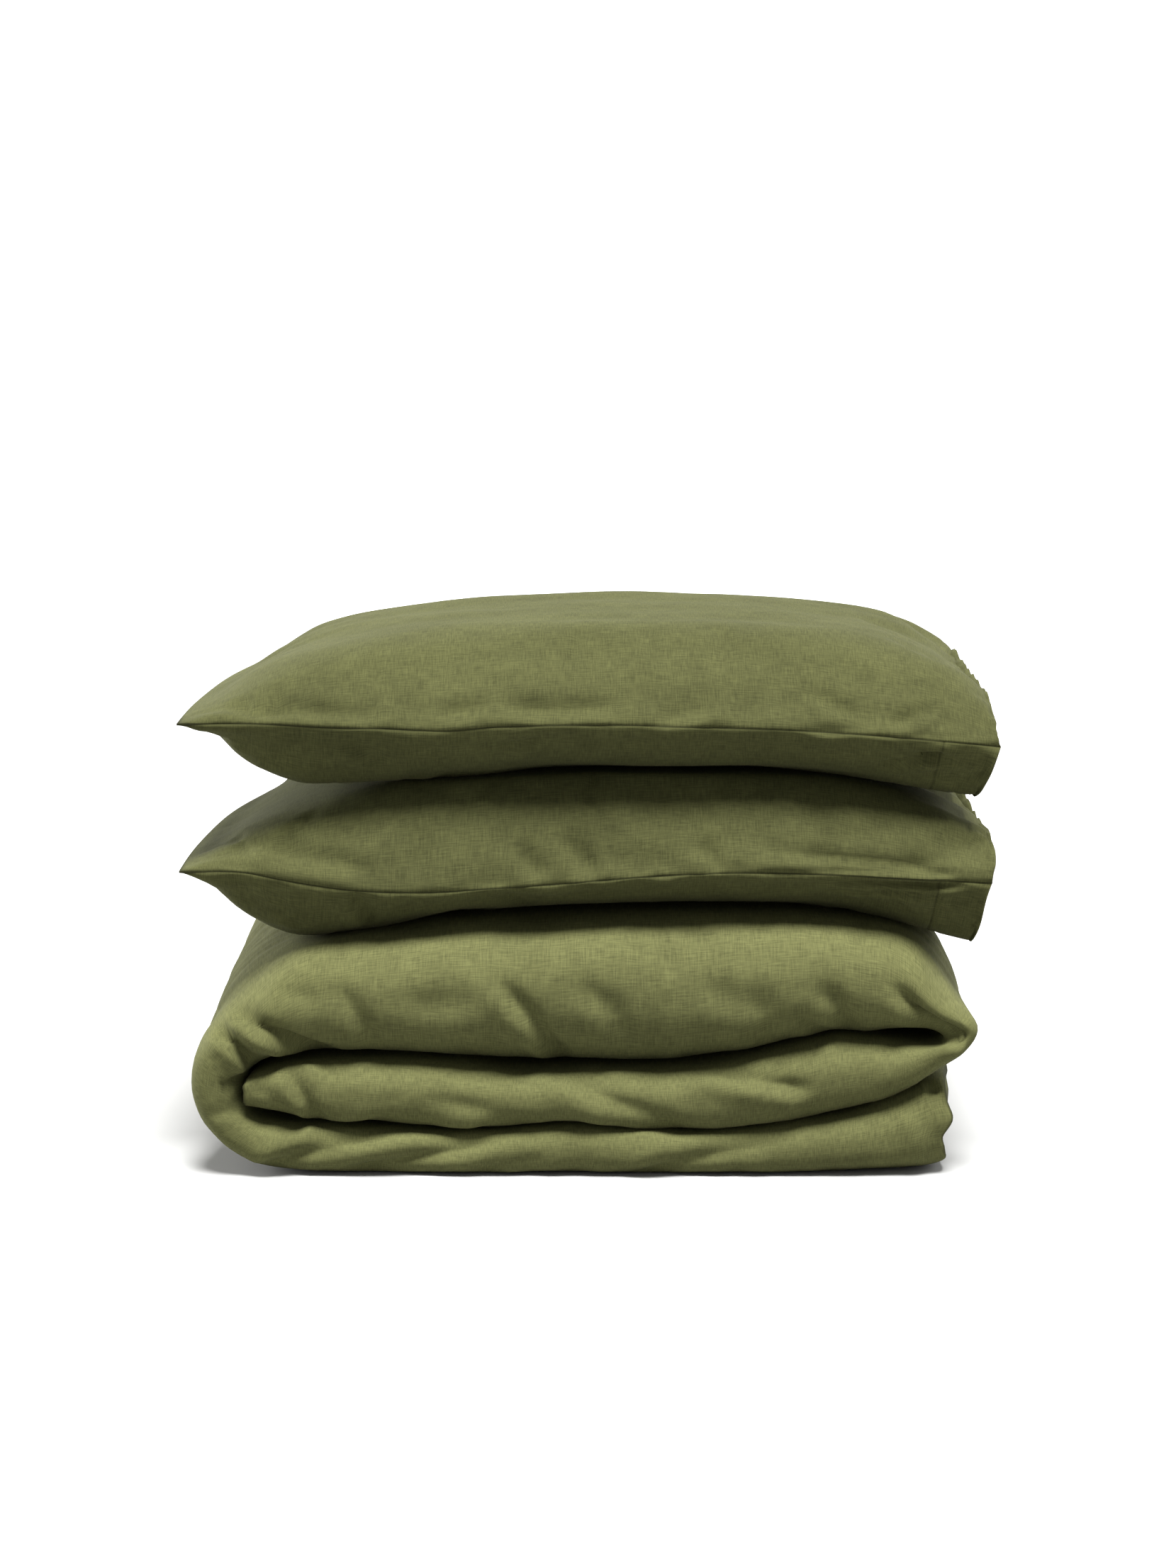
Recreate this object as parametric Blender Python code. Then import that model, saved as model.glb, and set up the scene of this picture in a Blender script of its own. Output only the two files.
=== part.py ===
# A folded duvet in its linen cover, with two cased pillows stacked on it.
# Metres, +Z up. X runs along the pillows, -Y is the front of the stack, and the origin is the
# middle of its footprint on the floor.
#
# The duvet is made flat, as five sheets that lie on each other: cover, casing, wadding, casing,
# cover. Every sheet is then carried through the same two folds: in four from front to back,
# and in three across. A pillow is a case with a flap, a ticking bag and its filling.

import math

import bmesh
import bpy
from mathutils import Matrix, Vector

# Cloth and clearances
cover_cloth = 0.0010
ticking_cloth = 0.0008
tape_cloth = 0.0006
gap = 0.0003          # between two pieces that touch
inner_gap = 0.0004    # between the duvet's cover, its casing and its wadding
seam_gap = 0.0008     # between the cover's two cloths at its seams
layer_gap = 0.0010    # between two layers of the folded duvet

# Duvet, laid flat
duvet_length = 2.00   # folded in three, across the stack
duvet_width = 2.00    # folded in four, from front to back
casing_inset = 0.018  # from the cover's seam to the casing's seam
wadding_inset = 0.030
loft_reach = 0.050    # from a seam to the full loft
loft_power = 2.5
fold_slack = 0.0035   # what each fold adds to a third of the length

# Duvet, folded: heights of the faces between its layers, at the left, the middle and the right
bottom_layer_top = (0.059, 0.053, 0.078)
middle_layer_top = (0.105, 0.105, 0.131)
top_layer_top = (0.176, 0.221, 0.191)
left_bend_reach = 0.120    # the wide bend that joins the bottom layer to the top one
left_bend_hole = 0.080     # the hollow inside it, which holds the middle layer's end
right_bend_reach = 0.094   # the bend that joins the top layer to the middle one
right_bend_slit = 0.056
right_bend_hollow = 0.003  # half the height of the hollow at the slit's end
bend_steps = 6
front_steps = 4
back_steps = 4
free_end_setback = 0.022   # bottom layer's end, from the stack's right side
tucked_end_setback = 0.046  # middle layer's end, from the stack's left side
tuck_clearance = 0.006
bulge_ratio = 0.80         # how far a front fold stands out, in thicknesses of its layer
back_bulge_ratio = 0.50
free_edge_setback = 0.004

# Button placket and inner ties of the cover
placket_width = 0.034  # the flat strip at the cover's opening edge, past the insert
button_count = 7
button_spacing = 0.200
button_radius = 0.006
button_thickness = 0.0025
button_hole_radius = 0.0008
button_hole_offset = 0.0018
button_from_edge = 0.016
tie_length = 0.050
tie_width = 0.005
tie_inset = 0.010

# Pillows
case_length = 0.75
case_width = 0.50
length_take_up = 0.04  # what the filling takes from the flat length
width_take_up = 0.03
ticking_inset = 0.012
filling_inset = 0.030
mouth_depth = 0.055    # the empty end of the case, past the ticking
mouth_taper = 0.075    # from the ticking's end seam to its full height
mouth_lip = 0.004      # from the case's open edge to the flap's fold
flap_foot = 0.045      # from the open edge to where the flap reaches the under panel
flap_length = 0.200
side_round = 0.092     # from a long seam to the flat of the pillow
end_reach = 0.340      # from the closed end to the crest
end_power = 3.3
under_reach = 0.130    # the same under the pillow, where it is blunter
under_power = 1.5
mouth_round = 0.200

# Pillow heights at the closed end, the middle and the open end
lower_seam = (0.270, 0.257, 0.258)
pillow_contact = (0.329, 0.339, 0.322)
upper_seam = (0.399, 0.397, 0.381)
lower_mouth_top = 0.297
upper_mouth_top = 0.403
upper_crest = 0.474
upper_side_round = 0.170

lower_pillow_colour = (0.135, 0.152, 0.058)
duvet_colour = (0.200, 0.220, 0.095)
ticking_colour = (0.780, 0.770, 0.730)
filling_colour = (0.850, 0.850, 0.840)
button_colour = (0.300, 0.290, 0.160)

folded_width = duvet_length / 3 + 2 * fold_slack
folded_depth = duvet_width / 4
right_side = folded_width / 2
left_side = -right_side
front = -folded_depth / 2
back = folded_depth / 2
left_bend_x = left_side + left_bend_reach
right_bend_x = right_side - right_bend_reach
pillow_length = case_length - length_take_up
pillow_width = case_width - width_take_up
run_steps = 3
underside = -gap / 2  # half a gap below the floor, because the cloth keeps half a gap to it


def clear_scene():
    for thing in list(bpy.data.objects):
        bpy.data.objects.remove(thing)


def new_material(name, colour, roughness):
    material = bpy.data.materials.new(name)
    material.use_nodes = True
    shader = material.node_tree.nodes["Principled BSDF"]
    shader.inputs["Base Color"].default_value = (*colour, 1)
    shader.inputs["Roughness"].default_value = roughness
    return material


def level(heights, x):
    """Height of a face between two pieces: heights at the left side, the middle and the right side."""
    left, middle, right = heights
    end = left if x < 0 else right
    return middle + (end - middle) * (x / right_side) ** 2


def spread(start, end, steps):
    return [start + (end - start) * i / steps for i in range(steps + 1)]


def build_up(distance, reach, power):
    """0 at a seam, 1 at reach from it, rising fast and then levelling off."""
    return 1 - (1 - min(max(distance / reach, 0), 1)) ** power


def rounding(distance, reach):
    """A quarter ellipse: 0 at a seam, 1 at reach from it."""
    return math.sqrt(1 - (1 - min(max(distance / reach, 0), 1)) ** 2)


def slab(name, rows, columns, place, material, parent):
    """A closed sheet. It starts as a flat grid with a thickness, and place(row, column, side)
    says where each corner goes, with side 0 for its first face and 1 for its second."""
    form = bmesh.new()
    bmesh.ops.create_grid(form, x_segments=len(rows) - 1, y_segments=len(columns) - 1, size=0.5)
    bmesh.ops.triangulate(form, faces=form.faces[:], quad_method="FIXED")
    made = bmesh.ops.extrude_face_region(form, geom=form.faces[:])
    for element in made["geom"]:
        if isinstance(element, bmesh.types.BMVert):
            element.co.z = 1
    for corner in form.verts:
        row = rows[round((corner.co.x + 0.5) * (len(rows) - 1))]
        column = columns[round((corner.co.y + 0.5) * (len(columns) - 1))]
        corner.co = place(row, column, round(corner.co.z))
    if form.calc_volume(signed=True) < 0:
        bmesh.ops.reverse_faces(form, faces=form.faces[:])
    mesh = bpy.data.meshes.new(name)
    form.to_mesh(mesh)
    form.free()
    return link(name, mesh, material, parent)


def link(name, mesh, material, parent):
    thing = bpy.data.objects.new(name, mesh)
    thing.data.materials.clear()
    thing.data.materials.append(material)
    thing.parent = parent
    bedding.objects.link(thing)
    return thing


# The fold across the stack. Each station is a rib in the X-Z plane, from the outer side of the
# doubled duvet to its inner side, with the distance from the nearer free end.

def bend_hole_half(x):
    """Half the height of the hollow inside the left bend, which is a superellipse."""
    share = min((left_bend_x - x) / left_bend_hole, 1)
    half = (level(middle_layer_top, left_bend_x) - level(bottom_layer_top, left_bend_x)) / 2
    return half * (1 - share ** 4) ** 0.25


def bottom_rib(x):
    end = right_side - free_end_setback
    highest = level(bottom_layer_top, x) - layer_gap / 2
    return (Vector((x, 0, underside)), Vector((x, 0, highest)), end - x)


def top_rib(x):
    lowest = level(middle_layer_top, x) + layer_gap / 2
    return (Vector((x, 0, level(top_layer_top, x))), Vector((x, 0, lowest)), loft_reach)


def middle_rib(x):
    lowest = level(bottom_layer_top, x) + layer_gap / 2
    highest = level(middle_layer_top, x) - layer_gap / 2
    if x < left_bend_x:
        centre = (level(bottom_layer_top, left_bend_x) + level(middle_layer_top, left_bend_x)) / 2
        room = bend_hole_half(x) - tuck_clearance * (left_bend_x - x) / left_bend_hole
        lowest, highest = max(lowest, centre - room), min(highest, centre + room)
    end = left_side + tucked_end_setback
    return (Vector((x, 0, lowest)), Vector((x, 0, highest)), x - end)


def left_bend_rib(turn):
    """turn runs from 0, on the bottom layer, to pi, on the top one."""
    x, outer_half = left_bend_x, (level(top_layer_top, left_bend_x) - underside) / 2
    lowest = level(bottom_layer_top, x) - layer_gap / 2
    highest = level(middle_layer_top, x) + layer_gap / 2
    outer = Vector((x - left_bend_reach * math.sin(turn), 0,
                    underside + outer_half * (1 - math.cos(turn))))
    side = math.copysign(abs(math.cos(turn)) ** 0.5, -math.cos(turn))
    inner = Vector((x - left_bend_hole * math.sin(turn) ** 0.5, 0,
                    (lowest + highest) / 2 + side * (highest - lowest) / 2))
    return (outer, inner, loft_reach)


def right_bend_rib(turn):
    """turn runs from 0, on the top layer, to pi, on the middle one."""
    x = right_bend_x
    highest, lowest = level(top_layer_top, x), level(bottom_layer_top, x) + layer_gap / 2
    slit = level(middle_layer_top, x)
    outer = Vector((x + right_bend_reach * math.sin(turn), 0,
                    (highest + lowest) / 2 + math.cos(turn) * (highest - lowest) / 2))
    opening = layer_gap / 2 * math.cos(turn) + right_bend_hollow * math.sin(2 * turn)
    inner = Vector((x + right_bend_slit * math.sin(turn) ** 0.8, 0, slit + opening))
    return (outer, inner, loft_reach)


def rounded_turn(steps):
    return spread(0, math.pi, steps)[1:-1]


def seam_stations(inset):
    """Distances from a seam at which a sheet that starts at this inset has a row of corners."""
    return [d for d in (0, casing_inset, wadding_inset) if d >= inset]


def ribs_across(inset):
    shared = spread(right_bend_x, left_bend_x, run_steps)
    free_end = right_side - free_end_setback
    tucked_end = left_side + tucked_end_setback
    ribs = [bottom_rib(free_end - d) for d in seam_stations(inset)]
    ribs += [bottom_rib(x) for x in shared]
    ribs += [left_bend_rib(turn) for turn in rounded_turn(bend_steps)]
    ribs += [top_rib(x) for x in reversed(shared)]
    ribs += [right_bend_rib(turn) for turn in rounded_turn(bend_steps)]
    ribs += [middle_rib(x) for x in shared]
    ribs += [middle_rib(tucked_end + d) for d in reversed(seam_stations(inset))]
    return ribs


# The fold from front to back. A station is (stage, place, distance from the nearer free edge):
# place is a Y on the four plies and an angle in the three bends.

def stations_deep(inset):
    free_edge = back - free_edge_setback
    rows = seam_stations(inset) + [loft_reach]
    stations = [("ply 1", free_edge, 0)] if inset == 0 else []
    stations += [("ply 1", free_edge - placket_width - d, d) for d in rows]
    stations += [("outer bend", turn, loft_reach) for turn in spread(0, math.pi, front_steps)]
    stations += [("back bend", turn, loft_reach) for turn in spread(0, math.pi, back_steps)]
    stations += [("inner bend", turn, loft_reach) for turn in spread(0, math.pi, front_steps)]
    stations += [("ply 2", free_edge - d, d) for d in reversed(rows)]
    return stations


def fold(rib, station, off):
    """Where a point of the flat duvet goes. off is its distance from the duvet's middle plane,
    below 0 on the face side. Heights in the four plies are shares of the rib's length."""
    outer, inner, _ = rib
    stage, place, _ = station
    layer = (outer - inner).length
    shift = off / layer
    bulge, back_bulge = bulge_ratio * layer, back_bulge_ratio * layer
    if stage == "ply 1":
        y, share = place, 0.125 + shift
    elif stage == "ply 2":
        y, share = place, 0.375 - shift
    elif stage == "outer bend":
        radius = 0.375 - shift
        y = front + bulge - (bulge - (0.5 - radius) * layer) * math.sin(place)
        share = 0.5 - radius * math.cos(place)
    elif stage == "back bend":
        radius = 0.125 - shift
        y = back - back_bulge + (back_bulge - (0.25 - radius) * layer) * math.sin(place)
        share = 0.75 + radius * math.cos(place)
    else:
        radius = 0.125 + shift
        y = front + bulge - (bulge - (0.5 - radius) * layer) * math.sin(place)
        share = 0.5 + radius * math.cos(place)
    point = outer.lerp(inner, share)
    return Vector((point.x, y, point.z))


def half_loft(rib, station):
    """Half the duvet's thickness, which thins out to its two cloths at a seam."""
    layer = (rib[0] - rib[1]).length
    full = layer / 8 - gap / 2
    least = cover_cloth + seam_gap / 2
    near = min(rib[2], station[2])
    return least + (full - least) * build_up(near, loft_reach, loft_power)


def duvet_sheet(name, inset, first, second, side, material, parent):
    """One of the duvet's sheets, between two depths under its surface. side is -1 for the face,
    1 for the back and 0 for a sheet that fills the space between two such depths."""
    def place(rib, station, which):
        half = half_loft(rib, station)
        if side == 0:
            return fold(rib, station, (half - first) * (2 * which - 1))
        return fold(rib, station, side * (half - (first, second)[which]))
    return slab(name, ribs_across(inset), stations_deep(inset), place, material, parent)


def rib_at(distance):
    """The rib at this distance from the free end, measured along the outer side, and its way on."""
    ribs = ribs_across(0)
    walked = 0
    for here, there in zip(ribs, ribs[1:]):
        step = (there[0] - here[0]).length
        if walked + step >= distance:
            share = (distance - walked) / step
            return (here[0].lerp(there[0], share), here[1].lerp(there[1], share), loft_reach), \
                (there[0] - here[0]).normalized()
        walked += step
    raise ValueError("the buttons run past the duvet's end")


def make_duvet(parent, linen, ticking, wadding):
    casing_depth = cover_cloth + inner_gap
    wadding_depth = casing_depth + ticking_cloth + inner_gap
    for name, side in (("face", -1), ("back", 1)):
        duvet_sheet("duvet_cover_" + name, 0, 0, cover_cloth, side, linen, parent)
        duvet_sheet("insert_casing_" + name, casing_inset, casing_depth,
                    casing_depth + ticking_cloth, side, ticking, parent)
    duvet_sheet("insert_wadding", wadding_inset, wadding_depth, wadding_depth, 0, wadding, parent)


def make_ties(parent, tape):
    """Four tapes inside the cover, along its seams, that hold the insert's corners."""
    free_end = right_side - free_end_setback
    tucked_end = left_side + tucked_end_setback
    free_edge = back - free_edge_setback
    along = [casing_inset, wadding_inset, casing_inset + tie_length]
    across = [tie_inset, tie_inset + tie_width]

    def place(rib, station, which):
        return fold(rib, station, (which - 0.5) * tape_cloth)

    for end, ribs in (("free_end", [bottom_rib(free_end - d) for d in along]),
                      ("tucked_end", [middle_rib(tucked_end + d) for d in along])):
        for ply, edge in ((1, free_edge - placket_width), (2, free_edge)):
            stations = [(f"ply {ply}", edge - d, d) for d in across]
            slab(f"corner_tie_{end}_{ply}", ribs, stations, place, tape, parent)


def button_mesh(material):
    """A flat four-hole button, with its axis along Z."""
    bpy.ops.mesh.primitive_cylinder_add(vertices=16, radius=button_radius, depth=button_thickness)
    disc = bpy.context.object
    for index in range(4):
        turn = math.pi / 4 + index * math.pi / 2
        bpy.ops.mesh.primitive_cylinder_add(
            vertices=6, radius=button_hole_radius, depth=3 * button_thickness,
            location=(button_hole_offset * math.cos(turn), button_hole_offset * math.sin(turn), 0))
        drill = bpy.context.object
        cut = disc.modifiers.new("thread hole", "BOOLEAN")
        cut.operation = "DIFFERENCE"
        cut.object = drill
        drill.name = f"button_drill_{index + 1}"
        drill.hide_render = True
        drill.display_type = "WIRE"
    bpy.context.view_layer.update()
    graph = bpy.context.evaluated_depsgraph_get()
    mesh = bpy.data.meshes.new_from_object(disc.evaluated_get(graph))
    mesh.name = "button"
    mesh.materials.clear()
    mesh.materials.append(material)
    for thing in [cut.object for cut in disc.modifiers] + [disc]:
        bpy.data.objects.remove(thing)
    return mesh


def make_buttons(parent, material):
    """The buttons on the face side of the cover's placket, spaced about the middle."""
    mesh = button_mesh(material)
    first = duvet_length / 2 - button_spacing * (button_count - 1) / 2
    station = ("ply 1", back - free_edge_setback - button_from_edge, 0)
    for index in range(button_count):
        rib, along = rib_at(first + index * button_spacing)
        out = Vector((-along.z, 0, along.x))
        centre = fold(rib, station, -half_loft(rib, station)) + out * (gap + button_thickness / 2)
        button = bpy.data.objects.new(f"cover_button_{index + 1}", mesh)
        turned = Matrix((along, out.cross(along), out)).transposed()
        button.matrix_world = Matrix.Translation(centre) @ turned.to_4x4()
        button.parent = parent
        bedding.objects.link(button)


# A pillow. Along its length a station is the distance from the closed end, and across it is a
# distance from the middle line.

def pillow_x(distance):
    return distance - pillow_length / 2


def case_top(pillow, distance, y):
    x = pillow_x(distance)
    seam = level(pillow["seam"], x)
    side = rounding(pillow_width / 2 - abs(y), pillow["side_round"])
    over_mouth = rounding(pillow_length - distance, mouth_round)
    crest = pillow["mouth_top"] + (level(pillow["top"], x) - pillow["mouth_top"]) * over_mouth
    rise = (crest - seam) * side * build_up(distance, end_reach, end_power)
    return seam + cover_cloth + gap / 2 + max(rise - cover_cloth - gap, 0)


def case_under(pillow, distance, y):
    x = pillow_x(distance)
    seam = level(pillow["seam"], x)
    side = rounding(pillow_width / 2 - abs(y), side_round)
    drop = (seam - level(pillow["under"], x)) * side
    drop *= build_up(distance, under_reach, under_power)
    return seam - cover_cloth - gap / 2 - max(drop - cover_cloth - gap, 0)


def inner_share(distance):
    """How the ticking closes at the case's open end: 1 inside, 0 at its seam."""
    return rounding(pillow_length - mouth_depth - distance, mouth_taper)


def lengths(inset):
    """Stations along a pillow for a layer that starts at this inset. Those over the duvet's
    straight runs are the duvet's own, so that faces that touch have the same corners."""
    runs = [x + pillow_length / 2 for x in spread(left_bend_x, right_bend_x, run_steps)]
    rows = [0, ticking_inset, filling_inset, 0.070] + runs
    rows += [pillow_length - d for d in (flap_length, mouth_depth + filling_inset - ticking_inset,
                                         mouth_depth, flap_foot, mouth_lip, 0)]
    last = pillow_length if inset == 0 else pillow_length - mouth_depth - inset + ticking_inset
    return [d for d in sorted(rows) if inset - gap < d < last + gap]


def widths(inset):
    edge = pillow_width / 2
    half = [edge - inset_here for inset_here in (0, ticking_inset, filling_inset, 0.055, side_round)
            if inset_here >= inset]
    return [-y for y in half] + [0] + half[::-1]


def make_case(name, pillow, parent, linen):
    def top(distance, y, which):
        return Vector((pillow_x(distance), y, case_top(pillow, distance, y) - which * cover_cloth))

    def under(distance, y, which):
        return Vector((pillow_x(distance), y, case_under(pillow, distance, y) + which * cover_cloth))

    slab(name + "_case_top", lengths(0), widths(0), top, linen, parent)
    slab(name + "_case_under", lengths(0), widths(0), under, linen, parent)


def make_flap(name, pillow, parent, linen):
    """The case's tuck-in flap: from the top's edge, down inside the mouth and under the ticking."""
    top_start = pillow_length - mouth_lip
    foot = pillow_length - flap_foot
    path = [d for d in lengths(0) if pillow_length - flap_length - gap < d < top_start + gap]

    def place(distance, y, which):
        high = case_top(pillow, distance, y) - cover_cloth - gap - cover_cloth
        low = case_under(pillow, distance, y) + cover_cloth + gap
        share = min(max((distance - foot) / (top_start - foot), 0), 1)
        return Vector((pillow_x(distance), y, low + (high - low) * share + which * cover_cloth))

    slab(name + "_case_flap", path, widths(ticking_inset), place, linen, parent)


def make_filled_bag(name, pillow, parent, ticking, filling):
    """The ticking bag, as its two panels, and the filling in it."""
    def closing(distance):
        """At their end seam the two panels still need their cloth and the gap between them."""
        return (ticking_cloth + gap / 2) * (1 - inner_share(distance))

    def bag_top(distance, y, depth):
        outside = case_top(pillow, distance, y) - cover_cloth - gap
        seam = level(pillow["seam"], pillow_x(distance))
        return seam + (outside - seam) * inner_share(distance) - depth

    def bag_under(distance, y, depth):
        outside = case_under(pillow, distance, y) + 2 * (cover_cloth + gap)
        seam = level(pillow["seam"], pillow_x(distance))
        return seam + (outside - seam) * inner_share(distance) + depth

    def top(distance, y, which):
        z = bag_top(distance, y, which * ticking_cloth) + closing(distance)
        return Vector((pillow_x(distance), y, z))

    def under(distance, y, which):
        z = bag_under(distance, y, which * ticking_cloth) - closing(distance)
        return Vector((pillow_x(distance), y, z))

    def fill(distance, y, which):
        bag = bag_under if which else bag_top
        return Vector((pillow_x(distance), y, bag(distance, y, ticking_cloth + gap)))

    slab(name + "_ticking_top", lengths(ticking_inset), widths(ticking_inset), top, ticking, parent)
    slab(name + "_ticking_under", lengths(ticking_inset), widths(ticking_inset), under, ticking,
         parent)
    slab(name + "_filling", lengths(filling_inset), widths(filling_inset), fill, filling, parent)


def make_pillow(name, pillow, linen, ticking, filling):
    parent = bpy.data.objects.new(name, None)
    bedding.objects.link(parent)
    make_case(name, pillow, parent, linen)
    make_flap(name, pillow, parent, linen)
    make_filled_bag(name, pillow, parent, ticking, filling)


def raised(heights, by):
    return tuple(height + by for height in heights)


clear_scene()
bedding = bpy.data.collections.new("bedding")
bpy.context.scene.collection.children.link(bedding)

duvet_linen = new_material("linen_duvet", duvet_colour, 0.9)
pillow_linen = new_material("linen_pillow", lower_pillow_colour, 0.9)
cotton_ticking = new_material("cotton_ticking", ticking_colour, 0.85)
soft_filling = new_material("filling", filling_colour, 0.95)
corozo = new_material("button", button_colour, 0.4)

duvet = bpy.data.objects.new("duvet", None)
bedding.objects.link(duvet)
make_duvet(duvet, duvet_linen, cotton_ticking, soft_filling)
make_ties(duvet, cotton_ticking)
make_buttons(duvet, corozo)

lower_pillow = {
    "seam": lower_seam,
    "under": raised(top_layer_top, gap),
    "top": raised(pillow_contact, -gap / 2),
    "mouth_top": lower_mouth_top,
    "side_round": side_round,
}
upper_pillow = {
    "seam": upper_seam,
    "under": raised(pillow_contact, gap / 2),
    "top": (upper_crest, upper_crest, upper_crest),
    "mouth_top": upper_mouth_top,
    "side_round": upper_side_round,
}
make_pillow("lower_pillow", lower_pillow, pillow_linen, cotton_ticking, soft_filling)
make_pillow("upper_pillow", upper_pillow, pillow_linen, cotton_ticking, soft_filling)
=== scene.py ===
import math

import bpy
import numpy as np
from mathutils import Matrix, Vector, noise


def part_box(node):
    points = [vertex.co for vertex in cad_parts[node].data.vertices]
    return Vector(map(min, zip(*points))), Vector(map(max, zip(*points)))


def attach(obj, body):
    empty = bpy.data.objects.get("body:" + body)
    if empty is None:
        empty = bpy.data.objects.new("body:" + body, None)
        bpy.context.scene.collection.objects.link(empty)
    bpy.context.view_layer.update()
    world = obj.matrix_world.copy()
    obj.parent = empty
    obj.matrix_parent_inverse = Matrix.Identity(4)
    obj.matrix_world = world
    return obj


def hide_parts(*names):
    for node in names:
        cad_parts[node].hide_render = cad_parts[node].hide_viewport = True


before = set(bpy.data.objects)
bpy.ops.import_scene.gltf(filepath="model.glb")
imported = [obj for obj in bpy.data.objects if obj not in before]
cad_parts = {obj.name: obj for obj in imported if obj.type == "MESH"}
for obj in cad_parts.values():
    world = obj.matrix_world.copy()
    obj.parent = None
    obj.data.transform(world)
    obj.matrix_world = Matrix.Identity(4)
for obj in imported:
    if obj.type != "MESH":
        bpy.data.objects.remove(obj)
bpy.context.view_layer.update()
print("frame loaded:", len(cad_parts), "nodes")

coverLow, coverHigh = (np.array(corner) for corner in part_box("duvet_cover_face"))
mm = 0.001


def linearColour(hexColour):
    channels = [int(hexColour[i:i + 2], 16) / 255 for i in (1, 3, 5)]
    return [c / 12.92 if c <= 0.04045 else ((c + 0.055) / 1.055) ** 2.4 for c in channels] + [1]


def curveThrough(points, x):
    # a smooth curve through a few given (x, value) points, flat beyond its ends
    px, py = np.array(points, float).T
    slope = np.gradient(py, px)
    x = np.clip(x, px[0], px[-1])
    i = np.clip(np.searchsorted(px, x) - 1, 0, len(px) - 2)
    span = px[i + 1] - px[i]
    t = (x - px[i]) / span
    return ((1 + 2 * t) * (1 - t) ** 2 * py[i] + t * (1 - t) ** 2 * span * slope[i]
            + t * t * (3 - 2 * t) * py[i + 1] + t * t * (t - 1) * span * slope[i + 1])


def softStep(x, start, end):
    t = np.clip((x - start) / (end - start), 0, 1)
    return t * t * (3 - 2 * t)


def rounded(distance, reach):
    # a quarter ellipse, 0 at a seam and 1 at reach from it
    return np.sqrt(1 - (1 - np.clip(distance / reach, 0, 1)) ** 2)


def spaced(start, end, step):
    return np.linspace(start, end, max(2, 1 + round(abs(end - start) / step)))


def softNoise(points, size, seed=0.0, stretch=(1, 1, 1)):
    # smooth noise in -1..1, with bumps about this size in metres
    flat = points.reshape(-1, 3) / (np.array(stretch) * size) + seed
    values = np.fromiter((noise.noise(Vector(p)) for p in flat), float, len(flat))
    return values.reshape(points.shape[:-1])


def gridNormals(points, closed=False):
    # the unit normal at each point of a grid, from its neighbours
    along = np.gradient(points, axis=0)
    across = np.roll(points, -1, 1) - np.roll(points, 1, 1) if closed else np.gradient(points, axis=1)
    normal = np.cross(along, across)
    return normal / np.maximum(np.linalg.norm(normal, axis=2, keepdims=True), 1e-12)


def newPiece(name, vertices, faces, material, body, attributes=None):
    mesh = bpy.data.meshes.new(name)
    mesh.from_pydata(vertices, [], faces)
    for label, values in (attributes or {}).items():
        kind = "FLOAT" if values.ndim == 1 else "FLOAT_VECTOR"
        layer = mesh.attributes.new(label, kind, "POINT")
        layer.data.foreach_set("value" if values.ndim == 1 else "vector", values.astype("f").ravel())
    mesh.materials.append(material)
    mesh.shade_smooth()
    piece = bpy.data.objects.new(name, mesh)
    bpy.context.scene.collection.objects.link(piece)
    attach(piece, body)
    return piece


def quads(index, closed=False):
    # the faces of a grid of vertex numbers, closed round its second axis if asked
    if closed:
        index = np.concatenate([index, index[:, :1]], axis=1)
    corners = (index[:-1, :-1], index[1:, :-1], index[1:, 1:], index[:-1, 1:])
    return np.stack([c.ravel() for c in corners], axis=1).tolist()


def addNode(material, kind, settings=None, links=None):
    node = material.node_tree.nodes.new("ShaderNode" + kind)
    for socket, value in (settings or {}).items():
        if isinstance(socket, int) or socket in node.inputs:
            node.inputs[socket].default_value = value
        else:
            setattr(node, socket, value)
    for socket, source in (links or {}).items():
        material.node_tree.links.new(source, node.inputs[socket])
    return node


def newMaterial(name):
    material = bpy.data.materials.new(name)
    material.use_nodes = True
    material.node_tree.nodes.clear()
    return material


def finishMaterial(material, shader):
    output = addNode(material, "OutputMaterial")
    material.node_tree.links.new(shader.outputs[0], output.inputs["Surface"])
    return material


def closedSheet(first, second):
    # two cloths on one grid, joined all round their edge
    n, m = first.shape[:2]
    index = np.arange(n * m).reshape(n, m)
    rim = np.concatenate([index[0], index[1:, -1], index[-1, -2::-1], index[-2:0:-1, 0]])
    nextOne = np.roll(rim, -1)
    faces = quads(index) + quads(index[:, ::-1] + n * m)
    faces += np.stack([rim, nextOne, nextOne + n * m, rim + n * m], axis=1).tolist()
    return np.concatenate([first.reshape(-1, 3), second.reshape(-1, 3)]), faces


linen = {
    "thread": 1.1 * mm,       # real yarn is 0.55 mm, drawn at twice that so that it shows
    "slub": 16 * mm,          # length of a thick or thin stretch in a yarn
    "mottle": 22 * mm,        # patches left by washing
    "patch": 120 * mm,
    "bumpDepth": 0.25 * mm,
}


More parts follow.
